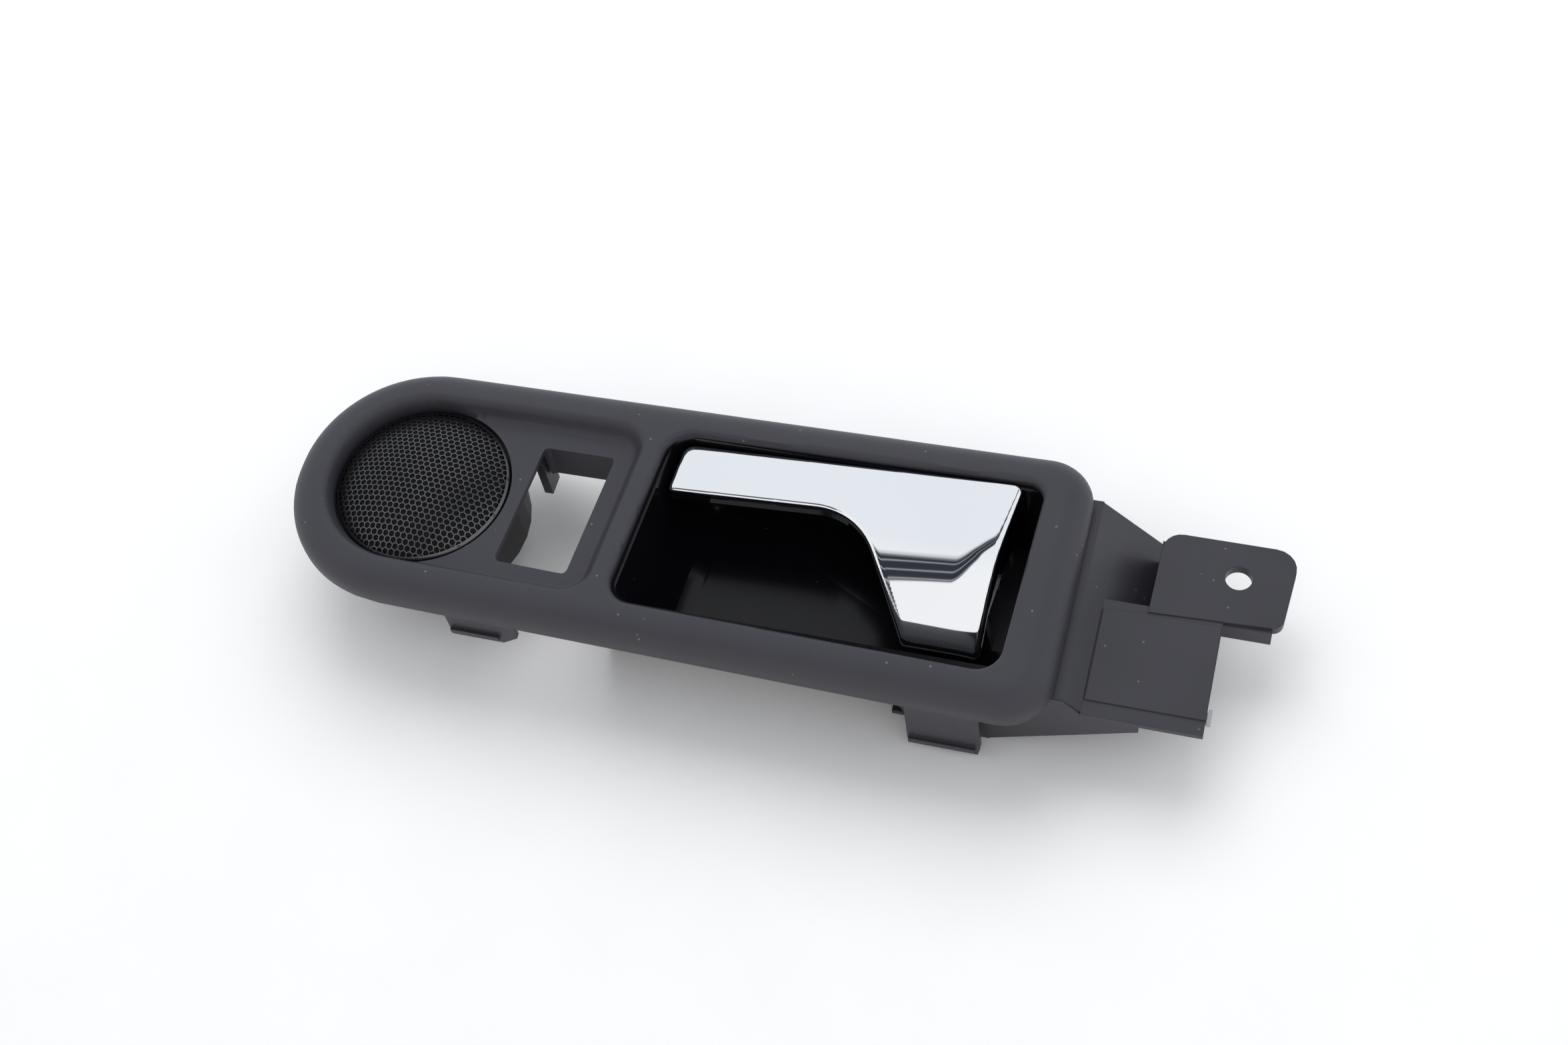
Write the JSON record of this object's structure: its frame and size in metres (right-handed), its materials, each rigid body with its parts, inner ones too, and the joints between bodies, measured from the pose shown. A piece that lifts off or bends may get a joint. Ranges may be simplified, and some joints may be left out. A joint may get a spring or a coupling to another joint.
{
  "type": "interior car door handle",
  "caption": "Interior car door handle: rounded trim frame with a domed tweeter grille, an open switch bay, a finger pocket and a sprung chrome pull lever, with a screw bracket at one end.",
  "frame": {"origin": "centre of the footprint, on the surface that the handle lies on, under its deep housing", "axes": "+X along the handle from the tweeter to the screw tab, +Z out of the door through the show face, +Y across the handle towards the lever bar"},
  "size_m": [0.278, 0.08, 0.0395],
  "materials": {
    "trim": "fine satin soft-touch paint",
    "gloss": "high gloss piano black",
    "chrome": "bright chrome plating",
    "plastic": "raw moulded, slight sheen",
    "black_plastic": "raw moulded",
    "mesh": "black lacquered expanded metal with bright worn edges",
    "steel": "bright zinc plated",
    "magnet": "phosphated",
    "silk": "coated silk",
    "rubber": "matte",
    "natural_plastic": "natural acetal"
  },
  "bodies": {
    "housing": {"bezel": "trim", "grille": "mesh", "grille_ring": "black_plastic", "tweeter_cup": "black_plastic", "tweeter_frame": "black_plastic", "tweeter_socket": "black_plastic", "tweeter_dome": "silk", "tweeter_magnet": "magnet", "pocket_liner": "gloss", "rear_housing": "plastic", "hinge_pin": "steel", "pin_clip": "steel", "return_spring": "steel", "bush_near": "natural_plastic", "bush_far": "natural_plastic", "lever_stop_1": "rubber", "lever_stop_2": "rubber", "cable_clip": "steel", "bezel_screw_1": "steel", "bezel_screw_2": "steel", "bezel_screw_3": "steel", "bezel_screw_4": "steel", "bezel_screw_5": "steel", "bezel_screw_6": "steel", "cup_screw_1": "steel", "cup_screw_2": "steel", "cup_screw_3": "steel"},
    "lever": {"lever_cover": "chrome", "lever_core": "black_plastic", "cover_screw_1": "steel", "cover_screw_2": "steel"}
  },
  "joints": [
    {"name": "lever_hinge", "type": "hinge", "parent": "housing", "child": "lever", "pos_m": [0.05624, 0, 0.021], "axis": [0, 1, 0], "range_deg": [0, 36], "stiffness_Nm_per_rad": 0.3, "springref_deg": -20.05, "deforming": ["return_spring"]}
  ]
}
